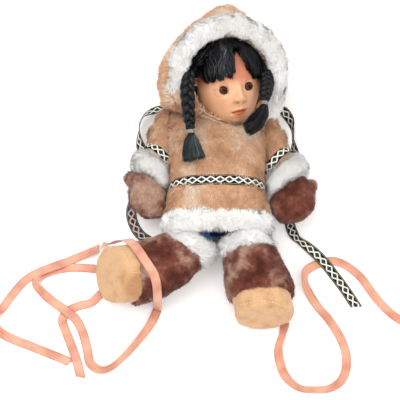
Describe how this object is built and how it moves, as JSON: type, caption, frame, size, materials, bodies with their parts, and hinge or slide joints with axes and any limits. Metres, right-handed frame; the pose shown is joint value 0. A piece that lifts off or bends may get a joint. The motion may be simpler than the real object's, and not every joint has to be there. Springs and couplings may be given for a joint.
{
  "type": "doll",
  "caption": "Soft-bodied child doll in a fur parka, mittens and fur boots, lying on its back, with turning head and hinged arms and legs.",
  "frame": {"origin": "on the flat back of the coat, in its middle plane, at the floor", "axes": "+Z out of the chest, +Y towards the head, +X towards the doll's left"},
  "size_m": [0.4681, 0.4445, 0.1297],
  "materials": {
    "tan_fur": "fake fur, tan, long pile",
    "white_fur": "fake fur, white, long pile",
    "brown_fur": "fake fur, dark brown, short pile",
    "suede": "suede cloth, matte",
    "porcelain": "tinted and fired, satin",
    "doll_hair": "synthetic hair, soft sheen",
    "woven_ribbon": "jacquard woven",
    "satin_ribbon": "satin woven",
    "silver_cord": "metallic thread, shiny",
    "denim_blue": "plain woven cotton",
    "calico": "plain woven cotton",
    "eye_glass": "glossy"
  },
  "bodies": {
    "torso": {"right_braid_tie": "silver_cord", "right_braid_end": "doll_hair", "cloth_body": "calico", "shoulder_plate": "porcelain", "parka_body": "tan_fur", "waist_ribbon": "woven_ribbon", "parka_skirt": "tan_fur", "hem_ruff": "white_fur", "trouser_seat": "denim_blue", "right_harness_ribbon": "woven_ribbon", "right_harness_end": "woven_ribbon", "left_harness_ribbon": "woven_ribbon", "left_boot_tie": "satin_ribbon", "right_boot_tie_short": "satin_ribbon", "right_boot_tie_outer": "satin_ribbon", "right_boot_tie_inner": "satin_ribbon"},
    "head": {"head": "porcelain", "right_eye": "eye_glass", "left_eye": "eye_glass", "wig": "doll_hair", "fringe": "doll_hair", "hood": "tan_fur", "hood_left_panel": "tan_fur", "hood_ruff": "white_fur", "right_braid": "doll_hair", "left_braid": "doll_hair", "left_braid_tie": "silver_cord", "left_braid_end": "doll_hair"},
    "right_arm": {"right_arm": "calico", "right_sleeve": "tan_fur", "right_sleeve_ribbon": "woven_ribbon", "right_cuff": "white_fur", "right_mitten": "brown_fur"},
    "right_leg": {"right_trouser_leg": "denim_blue", "right_leg": "calico", "right_boot_top_fur": "white_fur", "right_boot_shaft": "brown_fur", "right_boot_side_strip": "suede", "right_boot_sole": "suede", "right_boot_tie_instep": "satin_ribbon"},
    "left_arm": {"left_arm": "calico", "left_sleeve": "tan_fur", "left_sleeve_ribbon": "woven_ribbon", "left_cuff": "white_fur", "left_mitten": "brown_fur"},
    "left_leg": {"left_trouser_leg": "denim_blue", "left_leg": "calico", "left_boot_top_fur": "white_fur", "left_boot_shaft": "brown_fur", "left_boot_side_strip": "suede", "left_boot_sole": "suede"}
  },
  "joints": [
    {"name": "head_turn", "type": "hinge", "parent": "torso", "child": "head", "pos_m": [0.017, 0.075, 0.0426], "axis": [-0.0872, 0.917, 0.3892], "range_deg": [-35, 8], "deforming": ["right_braid"]},
    {"name": "right_arm_raise", "type": "hinge", "parent": "torso", "child": "right_arm", "pos_m": [-0.0557, 0.071, 0.031], "axis": [-1, 0, 0], "range_deg": [0, 60]},
    {"name": "left_arm_raise", "type": "hinge", "parent": "torso", "child": "left_arm", "pos_m": [0.0557, 0.066, 0.031], "axis": [-1, 0, 0], "range_deg": [0, 60]},
    {"name": "right_leg_lift", "type": "hinge", "parent": "torso", "child": "right_leg", "pos_m": [-0.03, -0.062, 0.032], "axis": [-1, 0, 0], "range_deg": [0, 70], "deforming": ["parka_skirt", "hem_ruff"]},
    {"name": "left_leg_lift", "type": "hinge", "parent": "torso", "child": "left_leg", "pos_m": [0.03, -0.062, 0.032], "axis": [-1, 0, 0], "range_deg": [0, 70], "deforming": ["parka_skirt", "hem_ruff"]}
  ]
}
